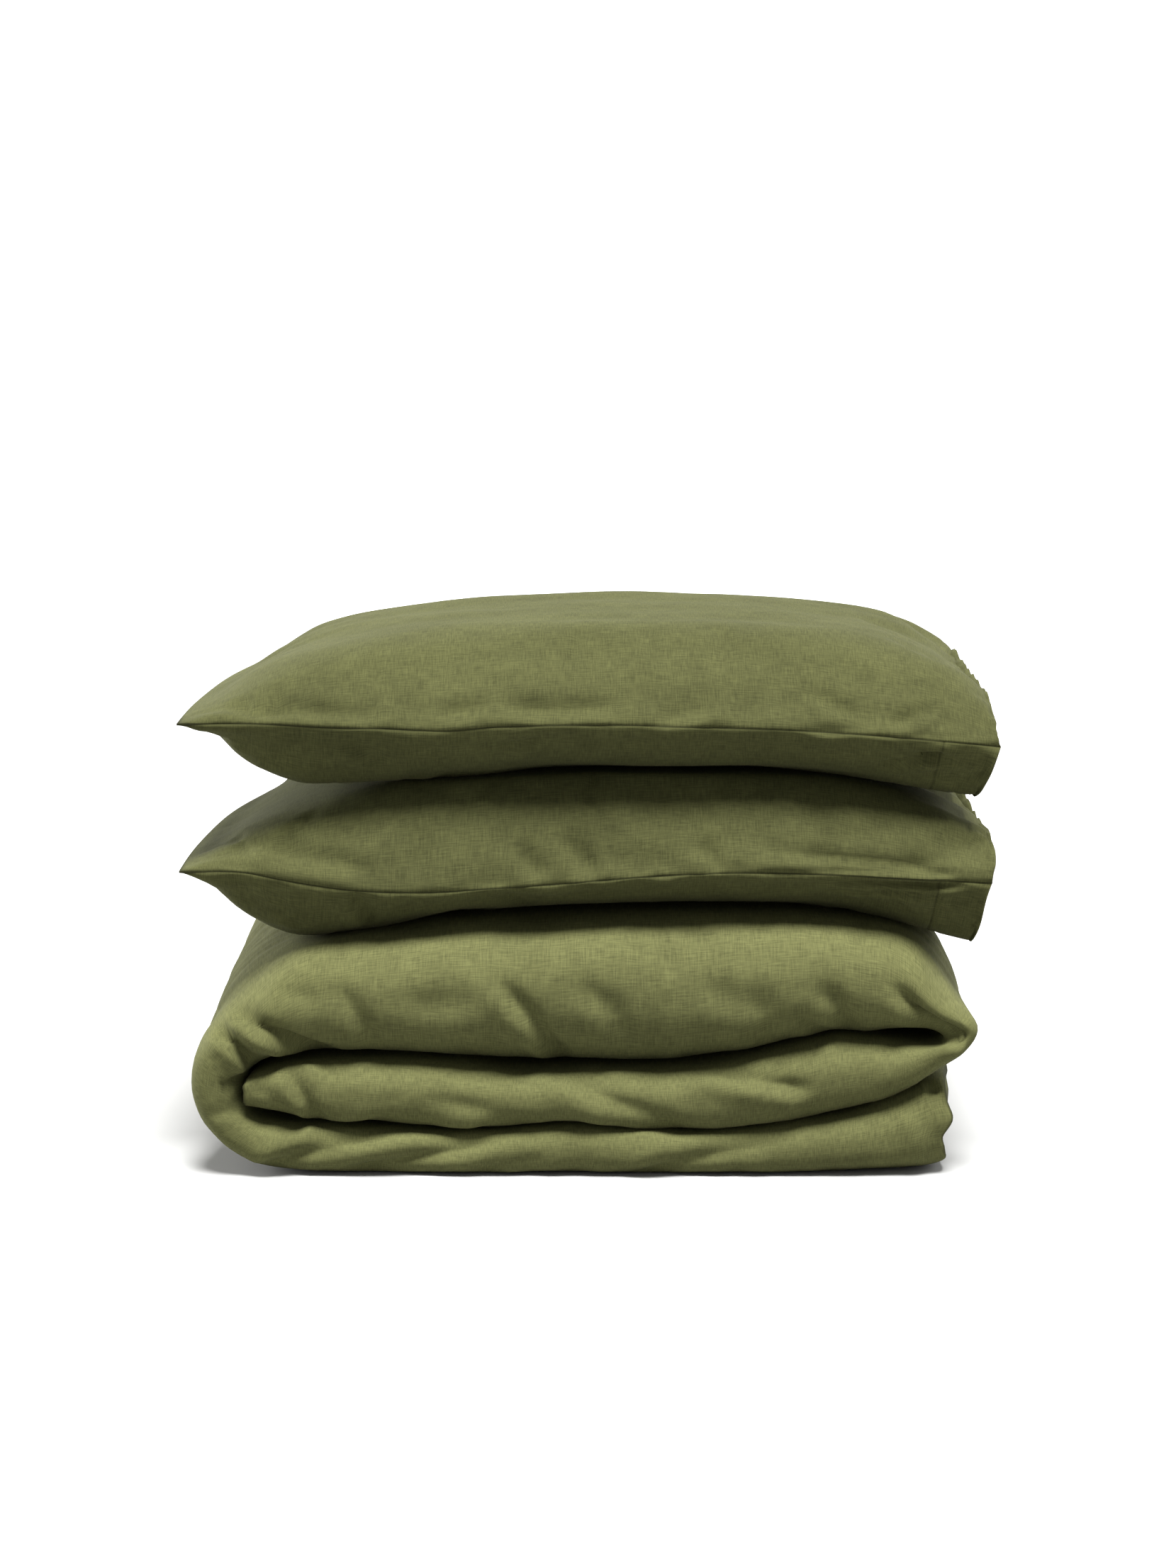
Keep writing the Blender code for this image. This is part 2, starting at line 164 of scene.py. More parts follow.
def washedLinen(name, hexColour):
    # flax, woven plain, dyed and stone washed: slubby yarn both ways, uneven colour, a soft fuzz
    # that catches light at grazing angles and no gloss
    material = newMaterial(name)
    cloth = addNode(material, "Attribute", {"attribute_name": "cloth"}).outputs["Vector"]
    place = addNode(material, "TexCoord").outputs["Object"]

    def yarn(along, across, seed):
        # noise stretched along the yarn
        turned = addNode(material, "Mapping", {"Location": (seed, seed * 2, 0),
                                               "Scale": (1 / along, 1 / across, 1)}, {"Vector": cloth})
        return addNode(material, "TexNoise", {"Scale": 1, "Detail": 2, "Roughness": 0.6},
                       {"Vector": turned.outputs[0]}).outputs[0]

    def blotches(size, seed, detail):
        moved = addNode(material, "Mapping", {"Location": (seed, seed, seed)}, {"Vector": place})
        return addNode(material, "TexNoise", {"Scale": 1 / size, "Detail": detail, "Roughness": 0.6},
                       {"Vector": moved.outputs[0]}).outputs[0]

    weft = yarn(linen["slub"], linen["thread"], 3.0)
    warp = yarn(linen["thread"], linen["slub"], 7.0)
    weave = addNode(material, "Math", {"operation": "ADD"}, {0: weft, 1: warp}).outputs[0]
    mottle = addNode(material, "Math", {"operation": "ADD"},
                     {0: blotches(linen["mottle"], 1.3, 3), 1: blotches(linen["patch"], 5.1, 2)})
    # painted shade: the seam attribute darkens the colour down to 0.35 of itself along the seams, the
    # hem and the cloth's rim, standing in for the shadow in their grooves
    seam = addNode(material, "Attribute", {"attribute_name": "seam"}).outputs["Fac"]

    # a shade round 1: each noise is centred on 0.5, so each sum on 1
    weaveShade = addNode(material, "MapRange", {"From Min": 0.72, "From Max": 1.28, "To Min": 0.70,
                                                "To Max": 1.30}, {"Value": weave}).outputs[0]
    mottleShade = addNode(material, "MapRange", {"From Min": 0.7, "From Max": 1.3, "To Min": 0.88,
                                                 "To Max": 1.12}, {"Value": mottle.outputs[0]})
    seamShade = addNode(material, "MapRange", {"To Min": 1.0, "To Max": 0.35}, {"Value": seam})
    clothShade = addNode(material, "Math", {"operation": "MULTIPLY"},
                         {0: weaveShade, 1: mottleShade.outputs[0]})
    shade = addNode(material, "Math", {"operation": "MULTIPLY"},
                    {0: clothShade.outputs[0], 1: seamShade.outputs[0]}).outputs[0]
    colour = addNode(material, "VectorMath", {"operation": "SCALE", 0: linearColour(hexColour)[:3]},
                     {"Scale": shade}).outputs[0]
    bump = addNode(material, "Bump", {"Strength": 0.5, "Distance": linen["bumpDepth"]},
                   {"Height": weave})
    shader = addNode(material, "BsdfPrincipled",
                     {"Roughness": 0.9, "Specular IOR Level": 0.06, "Sheen Weight": 0.03,
                      "Sheen Roughness": 0.45, "Sheen Tint": linearColour("#c9cba0")},
                     {"Base Color": colour, "Normal": bump.outputs[0]})
    return finishMaterial(material, shader)


def wovenCotton(name, hexColour, thread):
    # close plain cotton: matt, nearly even, a fine grain
    material = newMaterial(name)
    place = addNode(material, "TexCoord").outputs["Object"]
    grain = addNode(material, "TexNoise", {"Scale": 1 / thread, "Detail": 2}, {"Vector": place})
    shade = addNode(material, "MapRange", {"To Min": 0.88, "To Max": 1.06},
                    {"Value": grain.outputs[0]}).outputs[0]
    colour = addNode(material, "VectorMath", {"operation": "SCALE", 0: linearColour(hexColour)[:3]},
                     {"Scale": shade}).outputs[0]
    bump = addNode(material, "Bump", {"Strength": 0.3, "Distance": 0.2 * mm},
                   {"Height": grain.outputs[0]})
    shader = addNode(material, "BsdfPrincipled", {"Roughness": 0.85, "Specular IOR Level": 0.2},
                     {"Base Color": colour, "Normal": bump.outputs[0]})
    return finishMaterial(material, shader)


def turnedCorozo(name):
    # palm nut, turned and dyed: wavy grain in olive brown under a satin polish
    material = newMaterial(name)
    place = addNode(material, "TexCoord").outputs["Object"]
    grain = addNode(material, "TexWave", {"Scale": 400, "Distortion": 6, "Detail": 2},
                    {"Vector": place})
    colour = addNode(material, "MixRGB", {"Color1": linearColour("#6d6a48"),
                                          "Color2": linearColour("#8b8661")},
                     {"Fac": grain.outputs["Fac"]})
    shader = addNode(material, "BsdfPrincipled", {"Roughness": 0.35}, {"Base Color": colour.outputs[0]})
    return finishMaterial(material, shader)


# the duvet and the pillows are one linen: the pillows' copy is painted darker than the duvet's, as
# painted shade standing in for the floor's bounce light that reaches the duvet more than the pillows
duvetLinen = washedLinen("washedLinenDuvet", "#4a4b2e")
shadedPillowLinen = washedLinen("washedLinenPillowShaded", "#3b3c23")
cottonTicking = wovenCotton("wovenCottonTicking", "#e4e1d8", 0.9 * mm)
corozo = turnedCorozo("turnedCorozoButton")
print("materials made")


# the duvet: one big flat bag, folded in four from front to back and in three across
duvet = {
    "leftBendReach": 0.120,
    "leftBendHole": 0.078,  # the hollow inside it, which holds the middle layer's end
    "rightBendReach": 0.094,
    "rightBendSlit": 0.068,
    "rightBendHollow": 0.008,
    "freeEnd": 0.026,       # from the right side to the bottom layer's end
    "tuckedEnd": 0.044,     # from the left side to the middle layer's end
    "tuckClearance": 0.004,
    "bulge": 0.80,          # how far a front fold stands out, in thicknesses of its layer
    "backBulge": 0.50,
    "squareness": 0.82,     # of the front and back folds, where 1 is an ellipse
    "meeting": 0.02,        # from here forward a ply is stretched to meet its bend
    "plyEnd": -0.16,
    "placket": 0.034,       # the flat buttoned strip past the insert
    "endBlunt": 1.7,        # how much faster the tucked end fills out than the others
    "edgeRound": 0.030,     # how quickly an edge fills out
    "edgeHalf": 1.6 * mm,   # half the thickness of the empty cloth at a seam
    "step": 0.0045,
    "layerGap": 0.6 * mm,
    # wear all over: height, size of the bumps and seed
    "wear": ((2.2 * mm, 0.085, 4.0), (0.9 * mm, 0.035, 9.0), (0.35 * mm, 0.014, 2.0)),
    "gather": 1.6 * mm,     # short pleats along the front
    "leftPleat": 2.2 * mm,  # pleats that run round the bends
    "rightPleat": 1.5 * mm,
    # height of the face between two layers along X, as the stack settles
    "bottomTop": ((-0.34, 0.060), (-0.29, 0.060), (-0.24, 0.047), (-0.18, 0.0415), (-0.08, 0.039),
                  (-0.02, 0.045), (0.07, 0.0385), (0.15, 0.041), (0.225, 0.053), (0.274, 0.066),
                  (0.31, 0.076), (0.34, 0.079)),
    "middleTop": ((-0.34, 0.096), (-0.30, 0.096), (-0.24, 0.100), (-0.17, 0.100), (-0.11, 0.095),
                  (-0.06, 0.090), (0.0, 0.090), (0.08, 0.091), (0.13, 0.098), (0.18, 0.111),
                  (0.22, 0.120), (0.25, 0.118), (0.30, 0.121), (0.34, 0.117)),
    "topTop": ((-0.34, 0.176), (-0.261, 0.196), (-0.2246, 0.2025), (-0.177, 0.2093),
               (-0.117, 0.217), (-0.045, 0.220), (0.117, 0.2235), (0.203, 0.223), (0.24, 0.220),
               (0.265, 0.215), (0.302, 0.204), (0.34, 0.190)),
}

leftSide, rightSide = coverLow[0], coverHigh[0]
front, back = coverLow[1], coverHigh[1]
leftBendX = leftSide + duvet["leftBendReach"]
rightBendX = rightSide - duvet["rightBendReach"]
freeEndX = rightSide - duvet["freeEnd"]
tuckedEndX = leftSide + duvet["tuckedEnd"]
freeEdgeY = back - 4 * mm
halfGap = duvet["layerGap"] / 2


def layerFace(name, x):
    return curveThrough(duvet[name], x)


def edgeStations(reach):
    # distances from an edge, close together where the cloth turns round it
    return reach * (1 - np.cos(np.linspace(0, math.pi / 2, 9)[:-1]))


def duvetRibs():
    # each rib runs through the doubled duvet, from its outer side to its inner one, in X and Z,
    # with the distance from the nearer free end
    ribs = []
    edge = edgeStations(duvet["edgeRound"])
    farEnd = 1.0

    def bottom(x):
        ribs.append((x, 0, x, layerFace("bottomTop", x) - halfGap, freeEndX - x))

    def top(x):
        ribs.append((x, layerFace("topTop", x), x, layerFace("middleTop", x) + halfGap, farEnd))

    def middle(x):
        low = layerFace("bottomTop", x) + halfGap
        high = layerFace("middleTop", x) - halfGap
        if x < leftBendX:
            inward = (leftBendX - x) / duvet["leftBendHole"]
            centre = (layerFace("bottomTop", leftBendX) + layerFace("middleTop", leftBendX)) / 2
            room = (layerFace("middleTop", leftBendX) - layerFace("bottomTop", leftBendX)) / 2
            room = room * (1 - min(inward, 1) ** 4) ** 0.25 - duvet["tuckClearance"] * inward
            low, high = max(low, centre - room), min(high, centre + room)
        ribs.append((x, low, x, high, (x - tuckedEndX) * duvet["endBlunt"]))

    for distance in edge:
        bottom(freeEndX - distance)
    for x in spaced(freeEndX - duvet["edgeRound"], leftBendX, duvet["step"]):
        bottom(x)
    for turn in np.linspace(0, math.pi, 54)[1:-1]:
        x, outerHalf = leftBendX, layerFace("topTop", leftBendX) / 2
        low, high = layerFace("bottomTop", x) - halfGap, layerFace("middleTop", x) + halfGap
        side = math.copysign(abs(math.cos(turn)) ** 0.5, -math.cos(turn))
        # the lower half is squarer, for the weight on it
        power = 0.70 if turn < math.pi / 2 else 1.0
        lift = outerHalf * (1 - math.copysign(abs(math.cos(turn)) ** power, math.cos(turn)))
        ribs.append((x - duvet["leftBendReach"] * math.sin(turn) ** power, lift,
                     x - duvet["leftBendHole"] * math.sin(turn) ** 0.5,
                     (low + high) / 2 + side * (high - low) / 2, farEnd))
    for x in spaced(leftBendX, rightBendX, duvet["step"]):
        top(x)
    for turn in np.linspace(0, math.pi, 40)[1:-1]:
        x, slit = rightBendX, layerFace("middleTop", rightBendX)
        high, low = layerFace("topTop", x), layerFace("bottomTop", x) + halfGap
        opening = halfGap * math.cos(turn) + duvet["rightBendHollow"] * math.sin(2 * turn)
        ribs.append((x + duvet["rightBendReach"] * math.sin(turn),
                     (high + low) / 2 + math.cos(turn) * (high - low) / 2,
                     x + duvet["rightBendSlit"] * math.sin(turn) ** 0.8, slit + opening, farEnd))
    for x in spaced(rightBendX, tuckedEndX + duvet["edgeRound"], duvet["step"]):
        middle(x)
    for distance in edge[::-1]:
        middle(tuckedEndX + distance)
    return np.array(ribs, float)


def duvetStations():
    # (stage, place, distance from the insert's edge) from the placket to the far edge
    edge = edgeStations(duvet["edgeRound"])
    farEdge = 1.0
    innerEdge = freeEdgeY - duvet["placket"]
    frontStart = duvet["plyEnd"]
    stations = [("ply 1", freeEdgeY - d, 0) for d in (0, 0.002, 0.006, 0.014, 0.024)]
    stations += [("ply 1", innerEdge - d, d) for d in edge]
    stations += [("ply 1", y, innerEdge - y)
                 for y in spaced(innerEdge - duvet["edgeRound"], 0.07, 0.011)]
    stations += [("ply 1", y, innerEdge - y) for y in spaced(0.065, frontStart, 0.0055)[:-1]]
    stations += [("outer bend", turn, farEdge) for turn in np.linspace(0, math.pi, 50)]
    stations += [("ply 4", share, farEdge) for share in np.linspace(0, 1, 8)[1:-1]]
    stations += [("back bend", turn, farEdge) for turn in np.linspace(0, math.pi, 18)]
    stations += [("ply 3", share, farEdge) for share in np.linspace(0, 1, 8)[1:-1]]
    stations += [("inner bend", turn, farEdge) for turn in np.linspace(0, math.pi, 14)]
    stations += [("ply 2", y, freeEdgeY - y)
                 for y in spaced(frontStart, freeEdgeY - duvet["edgeRound"], 0.03)[1:]]
    stations += [("ply 2", freeEdgeY - d, d) for d in edge[::-1]]
    return stations


def foldDuvet(ribs, stations, side):
    # side is -1 for the cover's face cloth, 1 for its back cloth
    outer, inner = ribs[:, 0:2], ribs[:, 2:4]
    layer = np.linalg.norm(outer - inner, axis=1)
    bulge, backBulge = duvet["bulge"] * layer, duvet["backBulge"] * layer
    full = layer / 8 - 0.15 * mm
    columns = []
    for stage, place, fromEdge in stations:
        fill = rounded(ribs[:, 4], duvet["edgeRound"]) * rounded(fromEdge, duvet["edgeRound"])
        half = duvet["edgeHalf"] + (full - duvet["edgeHalf"]) * fill
        shift = side * half / layer

        # the turn of a bend, a little squarer than a circle
        if "bend" in stage:
            out = math.sin(place) ** duvet["squareness"]
            across = math.copysign(abs(math.cos(place)) ** duvet["squareness"], math.cos(place))

        def bendY(radius):
            return front + bulge - (bulge - (0.5 - radius) * layer) * out

        if stage in ("ply 1", "ply 2"):
            # the front part of a ply is stretched to meet its bend
            y = place + max(0, duvet["meeting"] - place) / (duvet["meeting"] - duvet["plyEnd"]) * (
                front + bulge - duvet["plyEnd"])
            share = 0.125 + shift if stage == "ply 1" else 0.375 - shift
        elif stage == "outer bend":
            radius = 0.375 - shift
            y, share = bendY(radius), 0.5 - radius * across
        elif stage == "ply 4":
            y = (front + bulge) * (1 - place) + (back - backBulge) * place
            share = 0.875 - shift
        elif stage == "back bend":
            radius = 0.125 - shift
            y = back - backBulge + (backBulge - (0.25 - radius) * layer) * out
            share = 0.75 + radius * across
        elif stage == "ply 3":
            y = (back - backBulge) * (1 - place) + (front + bulge) * place
            share = 0.625 + shift
        else:
            radius = 0.125 + shift
            y, share = bendY(radius), 0.5 + radius * across
        flat = outer + (inner - outer) * share[:, None]
        columns.append(np.stack([flat[:, 0], y, flat[:, 1]], axis=1))
    return np.stack(columns, axis=1)


# creases pressed into the front of the layers: points in X and Z, depth and half width in
# millimetres, and the share of the depth that stands up as a ridge on its left side
creases = (
    # top layer
    (((-0.305, 0.146), (-0.275, 0.130), (-0.236, 0.106)), 12.0, 7.0, 0.7),
    (((-0.075, 0.174), (-0.050, 0.142), (-0.026, 0.104)), 8.0, 8.0, 0.6),
    (((-0.220, 0.172), (-0.205, 0.152), (-0.190, 0.128)), 5.0, 9.0, 0.6),
    (((-0.265, 0.166), (-0.235, 0.160)), 4.0, 9.0, 0.3),
    (((-0.155, 0.152), (-0.105, 0.158)), 3.5, 13.0, 0.3),
    (((-0.010, 0.172), (0.022, 0.150), (0.030, 0.128)), 4.5, 11.0, 0.5),
    (((0.095, 0.172), (0.150, 0.152)), 3.5, 13.0, 0.4),
    (((0.203, 0.168), (0.222, 0.148), (0.228, 0.130)), 6.0, 9.0, 0.4),
    (((0.184, 0.137), (0.217, 0.122)), 5.0, 6.0, 0.6),
    (((0.272, 0.166), (0.284, 0.147), (0.305, 0.132), (0.322, 0.127)), 15.0, 7.5, 0.25),
    (((0.326, 0.150), (0.3265, 0.128)), 3.5, 1.8, 0.0),
    # middle layer
    (((-0.262, 0.096), (-0.250, 0.076), (-0.236, 0.052)), 6.0, 5.5, 0.6),
    (((-0.286, 0.082), (-0.272, 0.066)), 2.5, 4.5, 0.4),
    (((-0.014, 0.088), (0.024, 0.068), (0.068, 0.050)), 5.5, 10.0, 0.7),
    (((0.090, 0.098), (0.130, 0.092), (0.178, 0.082)), 7.0, 8.0, 0.6),
    (((-0.130, 0.070), (-0.060, 0.050)), 3.5, 9.0, 0.4),
    # bottom layer
    (((-0.180, 0.044), (-0.215, 0.034), (-0.275, 0.010)), 6.5, 8.0, 0.6),
    (((-0.078, 0.040), (-0.130, 0.022), (-0.192, 0.006)), 6.5, 9.0, 0.6),
    (((0.162, 0.034), (0.110, 0.022), (0.052, 0.005)), 4.5, 8.0, 0.6),
    (((-0.100, 0.006), (-0.045, 0.016)), 2.0, 6.0, 0.4),
    (((0.285, 0.062), (0.300, 0.040), (0.302, 0.015)), 2.5, 7.0, 0.4),
    (((0.296, 0.086), (0.302, 0.074)), 6.0, 4.0, 0.2),
    # wall of the left bend
    (((-0.326, 0.0815), (-0.298, 0.0885)), 5.0, 3.5, 0.6),
    (((-0.324, 0.131), (-0.308, 0.122), (-0.295, 0.103)), 12.0, 6.0, 0.5),
    (((-0.334, 0.056), (-0.300, 0.062)), 2.0, 5.0, 0.4),
)


def creaseDepth(x, z, creases):
    # how far the front stands out at each X and Z, in metres
    out = np.zeros_like(x)
    for path, depth, width, ridge in creases:
        path = np.array(path)
        lengths = np.linalg.norm(np.diff(path, axis=0), axis=1)
        before = np.concatenate([[0], np.cumsum(lengths)])
        nearest, off, along = np.full_like(x, 9.0), np.zeros_like(x), np.zeros_like(x)
        for (x0, z0), (x1, z1), length, start in zip(path, path[1:], lengths, before):
            ux, uz = (x1 - x0) / length, (z1 - z0) / length
            t = (x - x0) * ux + (z - z0) * uz
            lower = -9.0 if start == 0 else 0.0
            upper = 9.0 if start + length > before[-1] - 1e-9 else length
            kept = np.clip(t, lower, upper)
            side = (z - z0) * ux - (x - x0) * uz
            distance = np.hypot(side, t - kept)
            closer = distance < nearest
            nearest = np.where(closer, distance, nearest)
            off = np.where(closer, np.copysign(distance, side), off)
            along = np.where(closer, (start + kept) / before[-1], along)
        off /= width * mm
        fade = softStep(along, -0.25, 0.3) * (1 - softStep(along, 0.95, 1.25))
        out -= depth * mm * fade * np.exp(-off ** 2)
        out += ridge * depth * mm * fade * np.exp(-((off + 1.8) / 1.1) ** 2)
    return out


# soft pulls on the whole fold, each with a centre, its radii and a shift
pulls = (
    ((0.308, -0.270, 0.076), (0.048, 0.120, 0.036), (0, 0, 0.017)),       # right bend, underneath
    ((0.326, -0.270, 0.182), (0.050, 0.090, 0.042), (-0.006, 0, -0.025)),
    ((-0.318, -0.270, 0.168), (0.055, 0.080, 0.050), (0.010, 0, -0.016)),  # upper left shoulder
    ((0.315, -0.080, 0.055), (0.050, 0.110, 0.050), (0.017, 0, 0)),       # free end, behind
    ((0.318, -0.235, 0.052), (0.030, 0.035, 0.010), (0.006, 0, 0)),       # free end's plies
    ((0.318, -0.235, 0.034), (0.030, 0.035, 0.007), (-0.003, 0, 0)),
    ((0.318, -0.235, 0.010), (0.030, 0.035, 0.008), (0.003, 0, 0)),
    ((-0.325, -0.245, 0.078), (0.045, 0.070, 0.055), (-0.014, 0, 0)),     # wall of the left bend
    ((0.345, 0.000, 0.160), (0.060, 0.200, 0.045), (-0.011, 0, 0)),
    ((0.338, -0.255, 0.136), (0.030, 0.045, 0.018), (0.009, 0, 0)),       # lip of the right bend
)


def pullFold(points, pulls=pulls):
    for centre, radii, shift in pulls:
        reach = np.exp(-np.sum(((points - centre) / radii) ** 2, axis=-1))
        points = points + reach[..., None] * np.array(shift)
    return points


def wrinkleDuvet(points, outward):
    # soft wear and creases, in metres along the normal, for the face cloth
    x, y, z = points[..., 0], points[..., 1], points[..., 2]
    frontFacing = softStep(-outward[..., 1], 0.05, 0.6) * softStep(-y, 0.12, 0.19)
    rise = sum(height * softNoise(points, size, seed) for height, size, seed in duvet["wear"])
    # short pleats across each fold's lower edge, where the cloth is gathered
    rise += frontFacing * duvet["gather"] * softNoise(points, 0.020, 6.0, (1, 2, 4))
    rise += frontFacing * creaseDepth(x, z, creases)
    # pleats that run round the two bends
    bend = softStep(-x, 0.20, 0.28) * softStep(y, -0.23, -0.18) * (1 - 0.6 * softStep(y, 0, 0.1))
    rise += bend * duvet["leftPleat"] * softNoise(points, 0.014, 3.0, (7, 1, 7))
    bend = softStep(x, 0.22, 0.29) * softStep(y, -0.23, -0.18)
    rise += bend * duvet["rightPleat"] * softNoise(points, 0.015, 8.0, (7, 1, 7))
    return rise * softStep(z, -0.001, 0.006)


def makeDuvet():
    ribs, stations = duvetRibs(), duvetStations()
    face = pullFold(foldDuvet(ribs, stations, -1))
    under = pullFold(foldDuvet(ribs, stations, 1))
    middle = (face + under) / 2
    outward = gridNormals(middle)
    if np.sum(outward * (face - middle)) < 0:
        outward = -outward
    face = face + outward * wrinkleDuvet(face, outward)[..., None]
    # flat on the floor, and flat where the lower pillow lies
    ceiling = curveThrough(pillows["lower"]["bottom"], face[..., 0]) - pillow["rest"]
    face[..., 2] = np.clip(face[..., 2], 0.3 * mm, ceiling)
    n, m = face.shape[:2]
    vertices, faces = closedSheet(face, under)
    u = np.concatenate([[0], np.cumsum(np.linalg.norm(np.diff(ribs[:, 0:2], axis=0), axis=1))])
    v = np.concatenate([[0], np.cumsum(np.linalg.norm(np.diff(middle[n // 2], axis=0), axis=1))])
    cloth = np.stack([*np.meshgrid(u, v, indexing="ij"), np.zeros((n, m))], axis=-1).reshape(-1, 3)
    fromRim = np.minimum.reduce([np.broadcast_to(a, (n, m)) for a in (
        u[:, None], (u[-1] - u)[:, None], v[None, :], (v[-1] - v)[None, :])])
    # painted shade along the rim of the cloth, where face and back are joined, for the shadow in that
    # seam's groove
    seam = np.exp(-(fromRim / (1.2 * mm)) ** 2).ravel()
    piece = newPiece("duvetCover", vertices, faces, duvetLinen, "duvet",
                     {"cloth": np.concatenate([cloth, cloth + 0.37]),
                      "seam": np.concatenate([seam, seam])})
    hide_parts("duvet_cover_face", "duvet_cover_back", "insert_casing_face",
                "insert_casing_back", "insert_wadding", "corner_tie_free_end_1",
                "corner_tie_free_end_2", "corner_tie_tucked_end_1", "corner_tie_tucked_end_2")
    print("duvet:", len(vertices), "vertices")


# the two pillows; their seam, crest and bottom are heights along X
pillows = {
    "lower": {
        "seam": ((-0.355, 0.269), (-0.30, 0.268), (-0.255, 0.259), (-0.20, 0.2515), (-0.15, 0.2495),
                 (-0.08, 0.253), (0.0, 0.259), (0.10, 0.266), (0.17, 0.267), (0.25, 0.264),
                 (0.345, 0.259)),
        "crest": ((-0.355, 0.340), (-0.15, 0.346), (0.0, 0.349), (0.15, 0.347), (0.25, 0.339),
                  (0.355, 0.325)),
        "bottom": ((-0.355, 0.175), (-0.261, 0.196), (-0.2246, 0.2025), (-0.177, 0.2093),
                   (-0.117, 0.217), (-0.045, 0.220), (0.117, 0.2235), (0.203, 0.223), (0.24, 0.220),
                   (0.265, 0.215), (0.302, 0.206), (0.355, 0.193)),
        "creases": (
            (((-0.060, 0.290), (-0.045, 0.266)), 6.1, 8.0, 0.5),
            (((-0.020, 0.296), (0.004, 0.268)), 7.0, 8.0, 0.5),
            (((0.100, 0.292), (0.112, 0.272)), 6.1, 7.0, 0.4),
            (((0.170, 0.284), (0.225, 0.279), (0.290, 0.272)), 7.0, 4.5, 0.6),
            (((0.195, 0.271), (0.300, 0.267)), 5.1, 2.5, 0.6),
            (((0.205, 0.259), (0.310, 0.256)), 6.1, 3.0, 0.6),
            (((0.215, 0.250), (0.290, 0.248)), 5.1, 3.0, 0.5),
            (((-0.205, 0.245), (-0.190, 0.222)), 6.1, 7.0, 0.5),
            (((-0.075, 0.244), (-0.050, 0.228)), 5.1, 7.0, 0.4),
            (((-0.290, 0.290), (-0.200, 0.272)), 5.1, 7.0, 0.4),
        ),
        "topPuff": 0.25,
        "underPuff": 0.70,
        "mouthTop": 0.292,
        "topRound": 0.078,
        "mouthRound": 0.045,
        "above": "upper",
        "pulls": (((0.355, 0.060, 0.300), (0.05, 0.16, 0.030), (-0.012, 0, 0)),
                  ((0.365, -0.220, 0.250), (0.05, 0.05, 0.030), (-0.007, 0, 0))),
        "seed": 11.0,
    },
    "upper": {
        "seam": ((-0.355, 0.398), (-0.28, 0.398), (-0.23, 0.395), (-0.18, 0.3935), (-0.125, 0.3915),
                 (-0.08, 0.395), (0.0, 0.397), (0.09, 0.395), (0.16, 0.393), (0.23, 0.389),
                 (0.30, 0.3835), (0.355, 0.378)),
        "crest": ((-0.355, 0.462), (-0.15, 0.467), (0.0, 0.472), (0.12, 0.471), (0.2, 0.468),
                  (0.355, 0.464)),
        "bottom": ((-0.355, 0.333), (-0.24, 0.337), (-0.14, 0.339), (0.0, 0.346), (0.07, 0.346),
                   (0.20, 0.343), (0.26, 0.337), (0.355, 0.323)),
        "creases": (
            (((-0.300, 0.408), (-0.250, 0.412), (-0.195, 0.405)), 7.0, 6.0, 0.5),
            (((-0.125, 0.405), (-0.090, 0.414)), 6.1, 6.0, 0.5),
            (((-0.070, 0.412), (-0.030, 0.408), (0.012, 0.411)), 7.0, 6.5, 0.5),
            (((0.060, 0.402), (0.100, 0.408)), 5.1, 6.0, 0.5),
            (((0.192, 0.424), (0.225, 0.408)), 7.5, 6.0, 0.5),
            (((0.262, 0.398), (0.296, 0.410)), 6.1, 5.0, 0.5),
            (((0.258, 0.3585), (0.300, 0.3685)), 7.0, 4.0, 0.6),
            (((0.270, 0.372), (0.315, 0.364)), 5.1, 4.0, 0.4),
            (((-0.210, 0.380), (-0.180, 0.362)), 5.1, 6.0, 0.5),
            (((-0.075, 0.372), (-0.045, 0.382)), 5.1, 5.0, 0.4),
        ),
        "topPuff": 0.52,
        "underPuff": 0.80,
        "mouthTop": 0.408,
        "topRound": 0.130,
        "mouthRound": 0.095,
        "pulls": (((0.355, 0.020, 0.420), (0.05, 0.20, 0.030), (-0.010, 0, 0)),),
        "seed": 23.0,
    },
}

pillow = {
    "underRound": 0.075,
    "sidePull": 0.006,      # how far a long side curves in between its corners
    "mouthReach": 0.200,
    "hem": 0.048,
    "wall": 1.2 * mm,
    "step": 0.0055,
    "rest": 0.4 * mm,       # room left to what lies above and below
    "rough": 2.4 * mm,      # heights of the large, middle and small bumps all over
    "middle": 1.6 * mm,
    "small": 0.45 * mm,
    "pucker": 0.55 * mm,    # along the long seams
    "endPleat": 1.6 * mm,   # running in from the closed end
    "seamSink": 0.9 * mm,
    "hemSink": 0.6 * mm,
    "fold": 5.0 * mm,       # soft folds that start at the long seams
    "mouthFold": 3.2 * mm,  # short level wrinkles at the seam near the mouth
    "lipSlant": 0.30,       # how much the under panel's edge runs in as it goes down
    # how the top and the underside fill out from the closed end: (distance, share)
    "topFill": ((0, 0.0), (0.03, 0.16), (0.06, 0.35), (0.08, 0.48), (0.12, 0.67), (0.16, 0.80),
                (0.21, 0.905), (0.28, 0.97), (0.35, 1.0)),
    "underFill": ((0, 0.0), (0.02, 0.10), (0.055, 0.42), (0.085, 0.70), (0.112, 0.93), (0.14, 1.0)),
}


